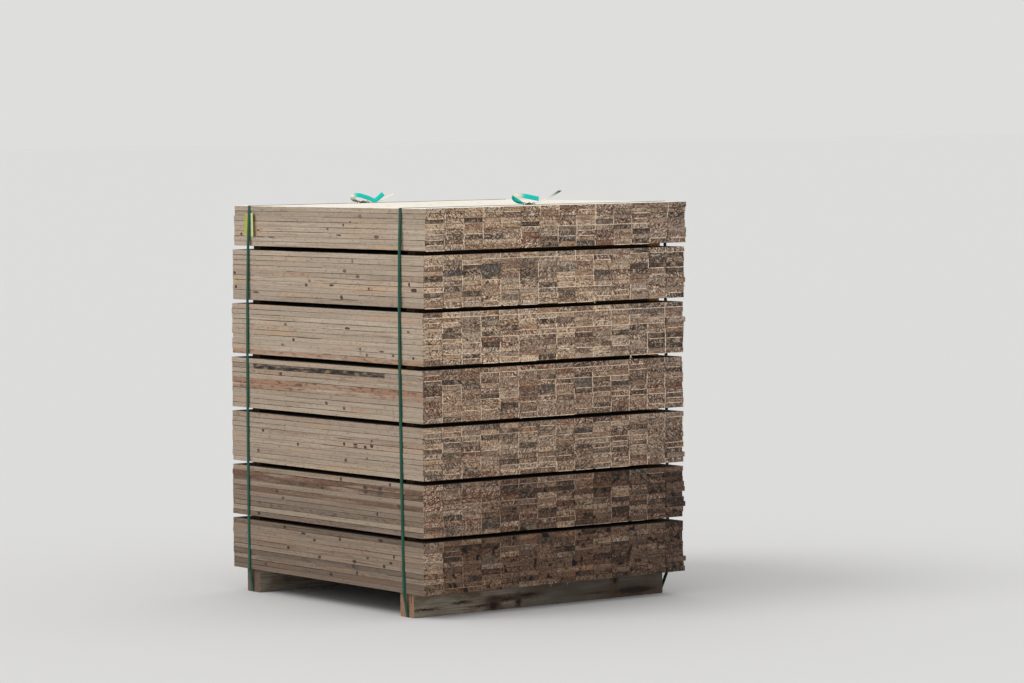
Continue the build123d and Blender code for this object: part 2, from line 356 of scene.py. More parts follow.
# Where the saw tore a whole line of fibres out of the end that shows: first and last column, row above it
TORN_LINES = {
    7: [(1, 1, 3), (6, 6, 4), (8, 11, 4)],
    6: [(3, 3, 2), (4, 10, 1), (12, 12, 1), (4, 4, 5), (8, 9, 5), (7, 10, 7)],
    5: [(1, 14, 1), (1, 1, 5), (4, 7, 5), (8, 12, 4)],
    4: [(4, 11, 1), (2, 2, 3), (9, 11, 3), (12, 12, 2), (4, 5, 6)],
    3: [(2, 6, 2), (9, 12, 4)],
    2: [(5, 9, 1)],
}

# Long loose fibres that hang from a tier's lowest boards: columns from the near corner, length in mm
HANGING_FIBRES = {6: [(9.0, 7)], 5: [(10.95, 15)], 1: [(6.6, 11), (7.5, 9)]}

# Boards that stand out on the side that shows: rows from the top, with how red and how dark each is
SIDE_MARKS = {
    7: {1: (0.0, 0.15), 2: (0.0, 0.15)},
    6: {5: (0.1, 0.2), 10: (0.0, 0.2)},
    5: {5: (0.2, 0.1), 10: (0.6, 0.0)},
    4: {2: (0.0, 1.0), 3: (0.3, 0.1), 5: (0.8, 0.0), 6: (0.6, 0.0)},
    3: {1: (0.3, 0.0), 4: (0.3, 0.1)},
    2: {2: (0.9, 0.35), 3: (0.7, 0.5), 5: (0.7, 0.4), 8: (0.0, 0.4), 10: (0.0, 0.3)},
    1: {1: (0.0, 0.3), 7: (0.0, 0.3), 8: (0.1, 0.3)},
}

# The blackest of them, by tier and row, is darkest between these places along it, and less beyond them: its
# wane, partly dark bark and partly painted shade where the wane falls away
DARKEST_SIDE_BOARD = (4, 2)
DARKEST_SPAN = (BOARD_CUTS[0], BOARD_CUTS[-1])
LIGHTER_BEYOND = 0.3

# Knots and short splits on that side: row from the top with its tenths down the board, distance from the
# near end in cm, length and height in mm
SIDE_KNOTS = {
    7: [(2.8, 40, 12, 8), (3.9, 46, 6, 5), (4.4, 50, 5, 5), (5.1, 60, 8, 6), (6.4, 53, 18, 3),
        (6.6, 30, 14, 9), (7.1, 103, 30, 3), (7.1, 96, 24, 3), (6.7, 116, 8, 6), (5.8, 105, 8, 5)],
    6: [(2.4, 43, 7, 14), (4.4, 48, 12, 8), (5.4, 40, 12, 9), (6.7, 70, 8, 6), (7.5, 72, 8, 6),
        (7.3, 56, 16, 4), (7.7, 33, 6, 5), (9.6, 50, 8, 12), (6.6, 9, 6, 12), (7.7, 6, 18, 10),
        (5.7, 119, 8, 8), (8.4, 118, 8, 8), (9.4, 105, 20, 4)],
    5: [(4.7, 85, 10, 8), (4.7, 46, 18, 4), (4.7, 9, 8, 6), (7.6, 80, 8, 7), (8.8, 87, 8, 7),
        (8.7, 25, 16, 4), (8.5, 38, 8, 6), (9.6, 34, 7, 7), (9.3, 18, 8, 6), (9.6, 6, 8, 6)],
    4: [(3.7, 88, 10, 8), (5.6, 76, 22, 6), (8.7, 59, 10, 8), (9.3, 48, 8, 7)],
    3: [(4.4, 100, 8, 7), (6.4, 77, 8, 7), (5.4, 48, 9, 9), (5.3, 41, 14, 5), (5.8, 41, 12, 3),
        (5.7, 35, 9, 7), (5.2, 31, 10, 9), (4.3, 31, 6, 6), (8.6, 103, 9, 8), (8.6, 47, 9, 9),
        (7.8, 34, 7, 6)],
    2: [(1.5, 50, 6, 14), (1.5, 20, 6, 10), (2.3, 49, 14, 11), (3.5, 88, 9, 8), (5.4, 91, 9, 8),
        (3.8, 62, 9, 8), (2.6, 35, 12, 10), (3.4, 35, 14, 10), (2.5, 26, 12, 8), (3.4, 26, 16, 10),
        (5.3, 15, 10, 12), (6.7, 87, 8, 7), (7.4, 28, 6, 12), (10.3, 103, 10, 8)],
    1: [(1.6, 86, 8, 8), (2.3, 74, 16, 4), (3.3, 67, 8, 7), (2.4, 51, 8, 12), (1.7, 26, 14, 9),
        (5.6, 84, 9, 8), (6.5, 64, 9, 8), (6.3, 42, 12, 8), (7.3, 43, 12, 8), (5.3, 34, 7, 6),
        (4.4, 18, 5, 12), (5.7, 20, 10, 5), (6.4, 24, 8, 10), (9.6, 99, 9, 8), (9.6, 57, 10, 9),
        (8.5, 41, 6, 14)],
}


def in_its_log(tree, where):
    """The place in the log that a board was sawn from, so that no two boards have the same grain."""
    log = add(tree, "Attribute", attribute_name="log")
    return add(tree, "VectorMath", {0: where, 1: log.outputs["Vector"]}, operation="ADD")


def carried(tree, *kinds):
    """These of the values that each board carries, in that order."""
    return [add(tree, "Attribute", attribute_name=kind).outputs["Fac"] for kind in kinds]


def darken_by_painted_shade(tree, tone, painted_shade):
    """Darkens wood by its painted shade."""
    return add(tree, "MixRGB", {"Fac": painted_shade, "Color1": tone, "Color2": "#9A8E86"}, blend_type="MULTIPLY")


# The fresh wide face of a bandsawn board: cream sapwood with faint grain, small knots and saw lines. On the
# top of the pack its cream is painted near white, as painted sunlight.
fresh_wood, tree, shader, where = surface("fresh_sawn_softwood", 0.75)
in_log = in_its_log(tree, where)
lot, red = carried(tree, "tone", "red")
fibres = grain(tree, in_log, 6, 220, 1)
rings = add(tree, "TexWave", {"Vector": in_log, "Scale": WAVE_TURN / RING_WIDTH, "Distortion": 2.5,
                              "Detail": 2.0, "Detail Scale": 0.4}, wave_type="RINGS", rings_direction="Y")
tone = add(tree, "ValToRGB", {"Fac": fibres}, stops=[(0.3, "#F3EAD8"), (0.55, "#FAF5EA"), (0.75, "#FDFAF3")])
knots = add(tree, "TexVoronoi", {"Vector": in_log, "Scale": 1 / (85 * MM)}).outputs["Distance"]
tone = stain(tree, tone, ("#EBDCC0", rings.outputs["Fac"], 0.0, 1.0, 0.3), ("#EFE4D0", lot, 0.0, 1.0, 0.4),
             ("#C49A70", red, 0.0, 1.0, 0.5), ("#B08458", knots, 0.16, 0.10, 1.0),
             ("#6E4A2E", knots, 0.10, 0.06, 1.0))
finish(tree, shader, tone, grain(tree, where, 3, 60, 0, 2.0), 0.35, 0.6 * MM)

# The narrow sawn edge after weeks outdoors: beige going grey, streaked along the grain, with brown knots
# and thin drying splits. The grain is drawn 5 mm wide, because its real 1 mm wouldn't show.
edge_wood, tree, shader, where = surface("weathered_sawn_edge", 0.85)
in_log = in_its_log(tree, where)
lot, red, dark, painted_shade, knotty = carried(tree, "tone", "red", "dark", "painted_shade", "knotty")
fibres = grain(tree, in_log, 5, 260, 1)
patches = grain(tree, in_log, 30, 420, 1, 3.0)
mottle = grain(tree, in_log, 9, 40, 1, 3.0)
tone = add(tree, "ValToRGB", {"Fac": fibres}, stops=[(0.3, "#A39079"), (0.5, "#B6A48F"), (0.72, "#C6B5A1")])
redness = add(tree, "MapRange", {"Value": patches, "From Min": 0.30, "From Max": 0.5, "To Max": red})
darkness = add(tree, "MapRange", {"Value": patches, "From Min": 0.36, "From Max": 0.50, "To Max": dark})
knots = add(tree, "TexVoronoi", {"Vector": in_log, "Scale": 1 / (75 * MM)}).outputs["Distance"]
tone = stain(tree, tone, ("#9E8D7C", lot, 0.0, 1.0, 0.55), ("#C39C78", patches, 0.52, 0.70, 0.55),
             ("#87756A", grain(tree, in_log, 6, 20, 1, 3.0), 0.53, 0.72, 0.7),
             ("#6B5A4C", grain(tree, in_log, 5, 9, 1, 1.0), 0.68, 0.76, 0.7),
             ("#A0755A", redness, 0.0, 1.0, 1.0), ("#5A3826", mottle, 0.50, 0.66, redness),
             ("#443A31", darkness, 0.0, 1.0, 1.0), ("#8B745E", mottle, 0.50, 0.64, darkness),
             ("#1E1813", mottle, 0.47, 0.38, darkness), ("#8A6A50", knots, 0.13, 0.07, knotty),
             ("#3C2B1F", knots, 0.075, 0.04, knotty),
             ("#5A4A3C", grain(tree, in_log, 2.5, 320, 1, 1.0), 0.70, 0.76, 1.0))
# Painted shade darkens it, more on the low tiers.
finish(tree, shader, darken_by_painted_shade(tree, tone, painted_shade), fibres, 0.4, 1.0 * MM)

# The cross-cut end: open pores hold the dirt, so it is the darkest face. It shows ring arcs, slanting
# saw marks, pits, dark blots and torn tufts, each tuft with its own painted highlight and shade, and some
# boards are cut cleaner than others. Painted shade greys the ends towards the far corner and darkens the
# low tiers, where the blots grow. Rings and tufts are drawn twice their real size to show.
end_wood, tree, shader, where = surface("crosscut_end_grain", 0.95)
in_log = in_its_log(tree, where)
lot, red, dark, blue, painted_shade = carried(tree, "tone", "red", "dark", "blue", "painted_shade")
rings = add(tree, "TexWave", {"Vector": in_log, "Scale": WAVE_TURN / RING_WIDTH, "Distortion": 3.0,
                              "Detail": 2.0, "Detail Scale": 0.6}, wave_type="RINGS", rings_direction="Y")
turn = add(tree, "Math", {0: lot, 1: OWN_TURNS}, operation="MULTIPLY")
slant = add(tree, "Math", {0: turn}, operation="SINE")
slanted = add(tree, "VectorRotate", {"Vector": in_log, "Axis": (0, 1, 0), "Angle": slant},
              rotation_type="AXIS_ANGLE")
strokes = grain(tree, slanted, 4, 15, 0, 3.0)
pale_strokes = grain(tree, slanted, 3, 11, 0, 3.0)
lengthened = add(tree, "VectorMath", {0: slanted, 1: (0.5, 1.0, 1.0)}, operation="MULTIPLY")
tuft = add(tree, "TexVoronoi", {"Vector": lengthened, "Scale": 1 / (3.2 * MM)})
lit_tuft = add(tree, "SeparateXYZ", {0: tuft.outputs["Color"]})
bands = grain(tree, in_log, 8, 70, 0, 2.0)
pits = add(tree, "TexNoise", {"Vector": where, "Scale": 1 / (6 * MM), "Detail": 3.0, "Roughness": 0.6})
clouds = grain(tree, in_log, 38, 38, 0, 3.0)
blots = grain(tree, where, 24, 24, 0, 3.0)
ragged = add(tree, "Math", {0: turn, 1: 1.0}, operation="PINGPONG")
unshaded_paleness = add(tree, "MapRange", {"Value": painted_shade, "To Min": 1.0, "To Max": 0.55})
paleness = add(tree, "MapRange", {"Value": ragged, "To Min": 0.3, "To Max": unshaded_paleness})
unshaded_deepness = add(tree, "MapRange", {"Value": painted_shade, "To Min": 1.0, "To Max": 0.6})
deepness = add(tree, "MapRange", {"Value": ragged, "To Min": 0.45, "To Max": unshaded_deepness})
tone = add(tree, "ValToRGB", {"Fac": lot},
           stops=[(0.0, "#F6D8B6"), (0.3, "#DCBA98"), (0.55, "#C8A583"), (0.8, "#A67C5A"), (1.0, "#6E5340")])
across = add(tree, "SeparateXYZ", {0: where}).outputs["X"]
blueness = add(tree, "MapRange", {"Value": clouds, "From Min": 0.30, "From Max": 0.42, "To Max": blue})
darkness = add(tree, "MapRange", {"Value": clouds, "From Min": 0.30, "From Max": 0.50, "To Max": dark})
# The second stain is painted shade, greying the ends towards the far corner.
tone = stain(tree, tone, ("#9A9188", slant, 0.0, 0.9, 0.5), ("#958D89", across, 0.05, 0.55, 0.45),
             ("#6A5442", rings.outputs["Fac"], 0.0, 1.0, 0.3), ("#6B4A36", bands, 0.50, 0.66, 0.65),
             ("#A0683A", clouds, 0.60, 0.70, 0.5), ("#835740", red, 0.0, 1.0, 1.0),
             ("#3B3E3E", blueness, 0.0, 1.0, 0.88), ("#36281F", darkness, 0.0, 1.0, 0.85),
             ("#3A2A1F", strokes, 0.53, 0.66, deepness),
             ("#34251B", lit_tuft.outputs["Y"], 0.64, 0.92, deepness),
             ("#E5C8AC", pale_strokes, 0.55, 0.65, paleness),
             ("#F7DCC0", lit_tuft.outputs["X"], 0.64, 0.92, paleness), ("#2A1D14", pits, 0.43, 0.34, 0.8),
             ("#271C15", blots, 0.57, 0.65, painted_shade), ("#424443", blueness, 0.0, 1.0, 0.45),
             ("#3E3026", darkness, 0.0, 1.0, 0.45))
rough = add(tree, "Math", {0: strokes, 1: lit_tuft.outputs["Z"]}, operation="ADD")
finish(tree, shader, darken_by_painted_shade(tree, tone, painted_shade), rough, 0.9, 1.4 * MM)

# Fibres that the saw tore out at the arris. They are clean wood inside, and their cream is painted paler
# still as painted sunlight, so they read as cream lines. Painted shade darkens them on the low tiers.
torn_wood, tree, shader, where = surface("torn_softwood_fibres", 0.7)
painted_shade = carried(tree, "painted_shade")[0]
speck = grain(tree, where, 6, 6, 0, 3.0)
tone = add(tree, "ValToRGB", {"Fac": speck}, stops=[(0.38, "#E0BF9C"), (0.52, "#FFEBD2")])
finish(tree, shader, darken_by_painted_shade(tree, tone, painted_shade), speck, 0.5, 0.5 * MM)

# The worn arris between two boards. Dust and damp settle in the joint, so it is dark in short stretches,
# and hardly at all on boards that fit tight. Painted shade darkens it on the low tiers.
worn_wood, tree, shader, where = surface("dusty_worn_arris", 0.9)
in_log = in_its_log(tree, where)
lot, painted_shade = carried(tree, "tone", "painted_shade")
dust = grain(tree, in_log, 12, 70, 1, 3.0)
tone = add(tree, "ValToRGB", {"Fac": dust}, stops=[(0.38, "#9A8672"), (0.5, "#5E4C3E"), (0.62, "#2E231A")])
tone = stain(tree, tone, ("#B8A58F", lot, 0.40, 0.60, 0.9))
finish(tree, shader, darken_by_painted_shade(tree, tone, painted_shade), dust, 0.3, 0.5 * MM)

# A wide face inside the pack: sawn and never weathered, but painted dark brown as the shade in the gaps
# between the tiers.
inner_wood, tree, shader, where = surface("inner_softwood_painted_shade", 0.9)
fibres = grain(tree, where, 8, 200, 1)
tone = add(tree, "ValToRGB", {"Fac": fibres}, stops=[(0.3, "#33261B"), (0.7, "#4C3A2A")])
finish(tree, shader, tone, fibres, 0.4, 0.8 * MM)

# A knot: the cut branch is much denser than the wood round it, nearly black, with a pale brown rim of bark.
# Painted shade darkens it on the low tiers.
knot_wood, tree, shader, where = surface("dense_softwood_knot", 0.6)
dark, painted_shade = carried(tree, "dark", "painted_shade")
speck = grain(tree, where, 4, 4, 0, 3.0)
tone = add(tree, "ValToRGB", {"Fac": speck}, stops=[(0.38, "#8E735C"), (0.62, "#B3977F")])
tone = stain(tree, tone, ("#3F2D20", dark, 0.0, 1.0, 1.0))
finish(tree, shader, darken_by_painted_shade(tree, tone, painted_shade), speck, 0.4, 0.4 * MM)

board_woods = [fresh_wood, edge_wood, end_wood, torn_wood, worn_wood, inner_wood, knot_wood]
FRESH, EDGE, END, TORN, WORN, INNER, KNOT = range(len(board_woods))


def separate_boards(tier):
    """The faces of each board, in the order of the mesh."""
    boards = []
    for face in tier.faces:
        face.tag = False
    for first in tier.faces:
        if first.tag:
            continue
        first.tag = True
        board = [first]
        for face in board:
            for edge in face.edges:
                for neighbour in edge.link_faces:
                    if not neighbour.tag:
                        neighbour.tag = True
                        board.append(neighbour)
        boards.append(board)
    return boards


def by_place(tier, top, row_pitch):
    """Each board's two corners and its faces, by column from the near corner and row from the top."""
    rows = {}
    for board in separate_boards(tier):
        corners = [vert.co for face in board for vert in face.verts]
        least, most = [Vector([pick(corner[axis] for corner in corners) for axis in range(3)])
                       for pick in (min, max)]
        row = int((top - (least.z + most.z) / 2) / row_pitch) + 1
        rows.setdefault(row, []).append((least, most, board))
    return {(column, row): found for row in sorted(rows)
            for column, found in enumerate(sorted(rows[row], key=lambda item: item[0].x), 1)}


def weathering(number, column, row, stands_out, chance):
    """What a board carries on the sides that don't show, on the end that shows and on the side that shows."""
    side = {"tone": chance.random(), "red": REDDEST * chance.random() ** SELDOM,
            "dark": DARKEST * chance.random() ** SELDOM, "blue": BLUEST * chance.random() ** HARDLY_EVER,
            "painted_shade": TIER_SHADE[number] * chance.uniform(*SHADE_SPREAD), "knotty": 1.0}
    across = column / BOARDS_ACROSS
    # On the end, the painted shade grows over the near columns and again towards the far corner, and the tone
    # darkens towards that corner as painted shade too.
    end = side | {
        "red": side["red"] + END_REDNESS[number],
        "tone": min(1.0, side["tone"] * (NEAR_TONE + FAR_TONE * across)),
        "painted_shade": side["painted_shade"] * min(1.0, column / SHADE_RAMP_COLUMNS[number]) + FAR_SHADE * max(0.0, across - 0.5),
    } | stands_out
    side["painted_shade"] *= SIDE_SHADE_SHARE
    shown_side = dict(side)
    if column == 1:
        marked = SIDE_MARKS[number].get(row, (SIDE_REDNESS * side["red"], 0.0))
        shown_side["red"], shown_side["dark"] = marked
        shown_side["knotty"] = 0.0
        # The side that shows has its painted shade made more alike along the tier.
        shown_side["painted_shade"] += (TIER_SHADE[number] * SIDE_SHADE - side["painted_shade"]) * SIDE_EVENNESS
    return side, end, shown_side


def bow(y, half):
    """How much of its crook a board has at that place: all in its middle, and none at its ends."""
    return 1 - (y / half) ** 2


def wear_arrises(tier, number, values, top, row_pitch):
    """Wears the arrises of a tier. They look alike along one joint between two rows, because their noise is
    taken by tier, joint and length only."""
    sharp = [edge for edge in tier.edges if edge.calc_face_angle(0) > SHARP]
    worn = bmesh.ops.bevel(tier, geom=sharp, offset=WORN_ARRIS, segments=1, affect="EDGES", profile=0.5,
                           material=-1, clamp_overlap=True)["faces"]
    for face in worn:
        if face.material_index == FRESH:
            continue
        middle = face.calc_center_median()
        dirt = noise.noise(middle * DIRT_PER_METRE + Vector((0, 0, number)))
        clean_end = abs(face.normal.y) > BESIDE_END and dirt < DIRTY_ARRIS_LEVEL
        face.material_index = END if clean_end else WORN
        if not clean_end:
            joint = round((top - middle.z) / row_pitch)
            along_joint = Vector((number * 5.3, joint * 2.7 + 0.5, middle.y * 1.5))
            face[values["tone"]] = 0.5 + noise.noise(along_joint)


def torn_lip(tier, place, length, facing, upright, chance):
    """Adds a ragged lip of torn fibres to the end of a board, along its arris."""
    lip = bmesh.new()
    corners = bmesh.ops.create_cube(lip, size=1.0)["verts"]
    bmesh.ops.scale(lip, vec=(length, LIP_REACH, LIP_HEIGHT), verts=corners)
    along = [edge for edge in lip.edges if abs(edge.verts[0].co.x - edge.verts[1].co.x) > length / 2]
    bmesh.ops.subdivide_edges(lip, edges=along, cuts=max(2, round(length / TOOTH)))
    for vert in lip.verts:
        if vert.co.y < 0:
            vert.co.y *= chance.uniform(*TOOTH_REACH)
            vert.co.z *= chance.uniform(*TOOTH_HEIGHT)
            vert.co.x += chance.uniform(-1, 1) * MM
    turned = Matrix.Rotation(math.pi if facing > 0 else 0.0, 4, "Z")
    stood = Matrix.Rotation(math.pi / 2 if upright else 0.0, 4, "Y")
    bmesh.ops.transform(lip, matrix=Matrix.Translation(place) @ turned @ stood, verts=lip.verts)
    for vert in lip.verts:
        vert.co.x = min(max(vert.co.x, cad_box[0].x), cad_box[1].x)
        vert.co.y = min(max(vert.co.y, cad_box[0].y), cad_box[1].y)
    for face in lip.faces:
        face.material_index = TORN
    mesh = bpy.data.meshes.new("lip")
    lip.to_mesh(mesh)
    lip.free()
    tier.from_mesh(mesh)
    bpy.data.meshes.remove(mesh)


def runs_on(along, across, layer):
    """A noise that changes slowly in one direction, so that the lips of neighbouring boards form a line."""
    # The tenths keep it off whole numbers, where it is always 0
    return noise.noise(Vector((along * 0.37 + 0.2, across * 2.7 + 0.4, layer * 3.3 + 0.1)))


def tear_ends(tier, number, boards, chance):
    """Adds the torn lips at both ends of a tier, under a board or upright beside it."""
    torn = {(column, row) for first, last, row in TORN_LINES.get(number, [])
            for column in range(first, last + 1)}
    for (column, row), (least, most, _) in boards.items():
        worn_off = LIPS_WORN[number] * column / BOARDS_ACROSS * 2
        for facing, plane in ((-1, least.y), (1, most.y)):
            whole = facing < 0 and (column, row) in torn
            if whole or runs_on(column, row, number * facing) > LYING_LIP_LEVEL + worn_off:
                share = LIP_SHARE[1] if whole else chance.uniform(*LIP_SHARE)
                place = ((least.x + most.x) / 2, plane, least.z)
                torn_lip(tier, place, (most.x - least.x) * share, facing, False, chance)
            if runs_on(row, column, UPRIGHT_LAYER + number * facing) > UPRIGHT_LIP_LEVEL + worn_off:
                place = (most.x, plane, (least.z + most.z) / 2)
                torn_lip(tier, place, most.z - least.z, facing, True, chance)


def hang_fibres(tier, place, length):
    """Hangs a few long torn fibres from one place."""
    for lean in FIBRE_LEANS:
        hung = Matrix.Translation(place) @ Matrix.Rotation(lean, 4, "Y")
        strand = hung @ Matrix.Translation((0, 0, -length / 2))
        made = bmesh.ops.create_cone(tier, cap_ends=True, segments=4, radius1=FIBRE_TIP, radius2=FIBRE_ROOT,
                                     depth=length, matrix=strand)["verts"]
        for face in {face for vert in made for face in vert.link_faces}:
            face.material_index = TORN


def set_knot(tier, values, place, size, lowest, highest, painted_shade, chance):
    """Sets a knot in the side that shows, between the worn arrises of its board."""
    y, z = place[1:]
    placed = Matrix.Translation(place) @ KNOT_FACING @ Matrix.Diagonal((*size, KNOT_RELIEF, 1))
    made = bmesh.ops.create_cone(tier, cap_ends=True, segments=10, radius1=KNOT_BARK, radius2=KNOT_HEART,
                                 depth=1, matrix=placed)["verts"]
    darkness = chance.uniform(*KNOT_DARKNESS)
    for vert in made:
        vert.co.y = y + (vert.co.y - y) * chance.uniform(*KNOT_UNEVENNESS)
        vert.co.z = z + (vert.co.z - z) * chance.uniform(*KNOT_UNEVENNESS)
        vert.co.z = min(max(vert.co.z, lowest), highest)
    for face in {face for vert in made for face in vert.link_faces}:
        face.material_index = KNOT
        face[values["dark"]] = darkness * (face.normal.x < -SQUARE_ON)
        face[values["painted_shade"]] = painted_shade


for number, rows in ROWS_IN_TIER.items():
    node = f"tier_{number}_boards"
    chance = random.Random(number)
    tier = copy_of(node)
    for kind in BOARD_VALUES:
        tier.faces.layers.float.new(kind)
    tier.faces.layers.float_vector.new("log")
    values = {kind: tier.faces.layers.float[kind] for kind in BOARD_VALUES}
    log = tier.faces.layers.float_vector["log"]
    cut_across(tier, BOARD_CUTS, 1)

    low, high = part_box(node)
    row_pitch = (high.z - low.z) / rows
    boards = by_place(tier, high.z, row_pitch)
    marks = {(column, row): kind for column, first, last, kind in END_MARKS[number]
             for row in range(first, last + 1)}
    crooks = {}
    for (column, row), (least, most, board) in boards.items():
        pith = chance.uniform(*PITH_AWAY) * MM
        angle = chance.uniform(0, 2 * math.pi)
        along_log = chance.uniform(0, LOG_LENGTH)
        shift = Vector((pith * math.cos(angle), along_log, pith * math.sin(angle)))
        side, end, shown_side = weathering(number, column, row, marks.get((column, row), {}), chance)
        crook, lift = chance.uniform(-1, 1) * CROOK, chance.uniform(-1, 1) * LIFT
        crooks[column, row] = crook
        on_top = number == max(ROWS_IN_TIER) and row == 1
        for face in board:
            direction = [abs(part) for part in face.normal]
            # Wide faces inside the pack take the painted shade of inner_wood, and the top of the pack the
            # painted sunlight of fresh_wood.
            face.material_index = (EDGE, END, INNER)[direction.index(max(direction))]
            if face.material_index == INNER and on_top and face.normal.z > 0:
                face.material_index = FRESH
            shown = side
            if face.material_index == END and face.normal.y < 0:
                shown = end
            elif face.material_index == EDGE and face.normal.x < 0:
                shown = shown_side
            face[log] = shift - (least + most) / 2
            for kind, layer in values.items():
                face[layer] = shown[kind]
            # The blackest board keeps its full darkness, bark and painted shade, only along its wane.
            in_darkest_span = DARKEST_SPAN[0] < face.calc_center_median().y < DARKEST_SPAN[1]
            if (number, row) == DARKEST_SIDE_BOARD and not in_darkest_span:
                face[values["dark"]] *= LIGHTER_BEYOND
        for vert in {vert for face in board for vert in face.verts}:
            bent = bow(vert.co.y, high.y)
            vert.co.x += crook * bent
            vert.co.z += lift * bent

    wear_arrises(tier, number, values, high.z, row_pitch)
    tear_ends(tier, number, boards, chance)
    for columns, length in HANGING_FIBRES.get(number, []):
        least = boards[int(columns), rows][0]
        x = low.x + columns * (high.x - low.x) / BOARDS_ACROSS
        hang_fibres(tier, (x, least.y, least.z), length * MM)
    # The torn fibres take the painted shade of their tier.
    for face in tier.faces:
        if face.material_index == TORN:
            face[values["painted_shade"]] = TIER_SHADE[number]
    for down, distance, length, height in SIDE_KNOTS[number]:
        least, most, _ = boards[1, int(down)]
        y = low.y + distance * 10 * MM
        z = most.z - down % 1 * (most.z - least.z)
        z = min(max(z, least.z + height * MM / 2), most.z - height * MM / 2)
        place = (least.x + crooks[1, int(down)] * bow(y, high.y), y, z)
        set_knot(tier, values, place, (length * MM, height * MM), least.z + WORN_ARRIS,
                 most.z - WORN_ARRIS, TIER_SHADE[number] * SIDE_SHADE_SHARE, chance)
    settle(tier, f"sawn_{node}", board_woods, "boards", node)


# Spacer laths
# Thin rough-sawn laths of offcut wood, laid across the pack over each bearer, so that air can pass
# between the tiers. Nothing fixes them but the weight above.

LATH_WEAR = 0.8 * MM

# From where to where along it the lath turns from painted shade to painted sunlight
PAINTED_SUNLIGHT_SPAN = (0.46, 0.49)

# Softwood, rough off the saw: brown, painted darker as the shade in the gap between the tiers, and painted
# bright orange as sunlight at the end that the sun reaches.
lath_wood, tree, shader, where = surface("rough_sawn_lath", 0.85)
fibres = grain(tree, where, 4, 120, 0)
along_lath = add(tree, "SeparateXYZ", {0: where}).outputs["X"]
tone = add(tree, "ValToRGB", {"Fac": fibres}, stops=[(0.3, "#3E2813"), (0.55, "#50351B"), (0.75, "#62421F")])
tone = stain(tree, tone, ("#FFA244", along_lath, *PAINTED_SUNLIGHT_SPAN, 1.0))
finish(tree, shader, tone, fibres, 0.5, 0.8 * MM)

for number in range(1, max(ROWS_IN_TIER)):
    for end in ("front", "rear"):
        node = f"spacer_{number}_{end}"
        lath = copy_of(node)
        bmesh.ops.bevel(lath, geom=lath.edges[:], offset=LATH_WEAR, segments=1, affect="EDGES", profile=0.5,
                        material=-1, clamp_overlap=True)
        settle(lath, f"sawn_{node}", [lath_wood], "laths", node)


# Tag
# A blank tag of thin yellow-green vinyl, slipped under the rear strap on the near side before it was
# pulled tight. The strap holds its middle flat, and its near half bows furthest away from the boards.

TAG_SHEET = 0.5 * MM
STRAP_WIDTH = 16 * MM
TAG_SQUARES = (14, 22)
FAR_HALF_CURL = 1.5 * MM
CORNER_ROUNDING = 0.22
LOW_BULGE = -0.25

# How much of its curl the sheet keeps, how that waves, and the wave's radians across and up
KEPT_CURL, CURL_WAVE = 0.94, 0.05
WAVE_ACROSS, WAVE_UP = 2, 5

# Vinyl, rolled smooth: faded in patches by the sun. Beside the strap, where its near half bends out, it has a
# painted highlight, and towards that half's edge it is golden.
vinyl, tree, shader, where = surface("blank_yellow_vinyl", 0.45)
tag_low, tag_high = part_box("tag")
middle, size = (tag_low + tag_high) / 2, tag_high - tag_low
along_tag = add(tree, "SeparateXYZ", {0: where}).outputs["Y"]
fade = grain(tree, where, 18, 18, 0, 3.0)
tone = add(tree, "ValToRGB", {"Fac": fade}, stops=[(0.36, "#A3A238"), (0.5, "#AEAC48"), (0.66, "#B3AA70")])
tone = stain(tree, tone, ("#CDDBA6", along_tag, middle.y - 6 * MM, middle.y - 10 * MM, 1.0),
             ("#CDC35A", along_tag, middle.y - 16 * MM, middle.y - 34 * MM, 1.0))
creases = grain(tree, where, 16, 16, 0, 2.0)
finish(tree, shader, tone, creases, 0.4, 1.5 * MM)

near_curl = size.x - TAG_SHEET
vinyl_sheet = bmesh.new()
bmesh.ops.create_grid(vinyl_sheet, x_segments=TAG_SQUARES[0], y_segments=TAG_SQUARES[1], size=0.5)
bmesh.ops.rotate(vinyl_sheet, verts=vinyl_sheet.verts, matrix=Matrix.Rotation(-math.pi / 2, 3, "Y"))
bmesh.ops.scale(vinyl_sheet, vec=(1, size.y, size.z), verts=vinyl_sheet.verts)
for vert in vinyl_sheet.verts:
    free = max(0.0, (abs(vert.co.y) - STRAP_WIDTH / 2) / ((size.y - STRAP_WIDTH) / 2))
    curl = near_curl if vert.co.y < 0 else FAR_HALF_CURL
    wave = math.sin(vert.co.z / size.z * WAVE_UP + vert.co.y / size.y * WAVE_ACROSS)
    vert.co.x = tag_high.x - TAG_SHEET / 2 - curl * (KEPT_CURL + CURL_WAVE * wave) * free ** 2
    if vert.co.y > 0:
        vert.co.y *= 1 - CORNER_ROUNDING * abs(vert.co.z / size.z * 2 - LOW_BULGE) ** 3
    vert.co += Vector((0, middle.y, middle.z))
tag = settle(vinyl_sheet, "blank_vinyl_tag", [vinyl], "tag", "tag")
thicken = tag.modifiers.new("sheet", "SOLIDIFY")
thicken.thickness = TAG_SHEET
thicken.offset = 0.0


# Straps
# Two green polypropylene straps, extruded and rolled with a fine pattern. Each is pulled tight round
# the pack and under its bearer. Both ends turn back over a bar of the buckle and stick up loose.

STRAP_SHEET = 0.9 * MM
STRAP_SEAT = 0.3 * MM
STRAP_CORNER = 1.2 * MM
GROOVE = 1.4 * MM
WIRE = 2.6 * MM
BAR_SPACING = 8 * MM
DIAMOND = 3 * MM

# Steps between two stations and round a bar, and the angle from which the strap is folded round a corner
STATION_STEPS = 4
TURN_STEPS = 8
FOLD = math.radians(30)
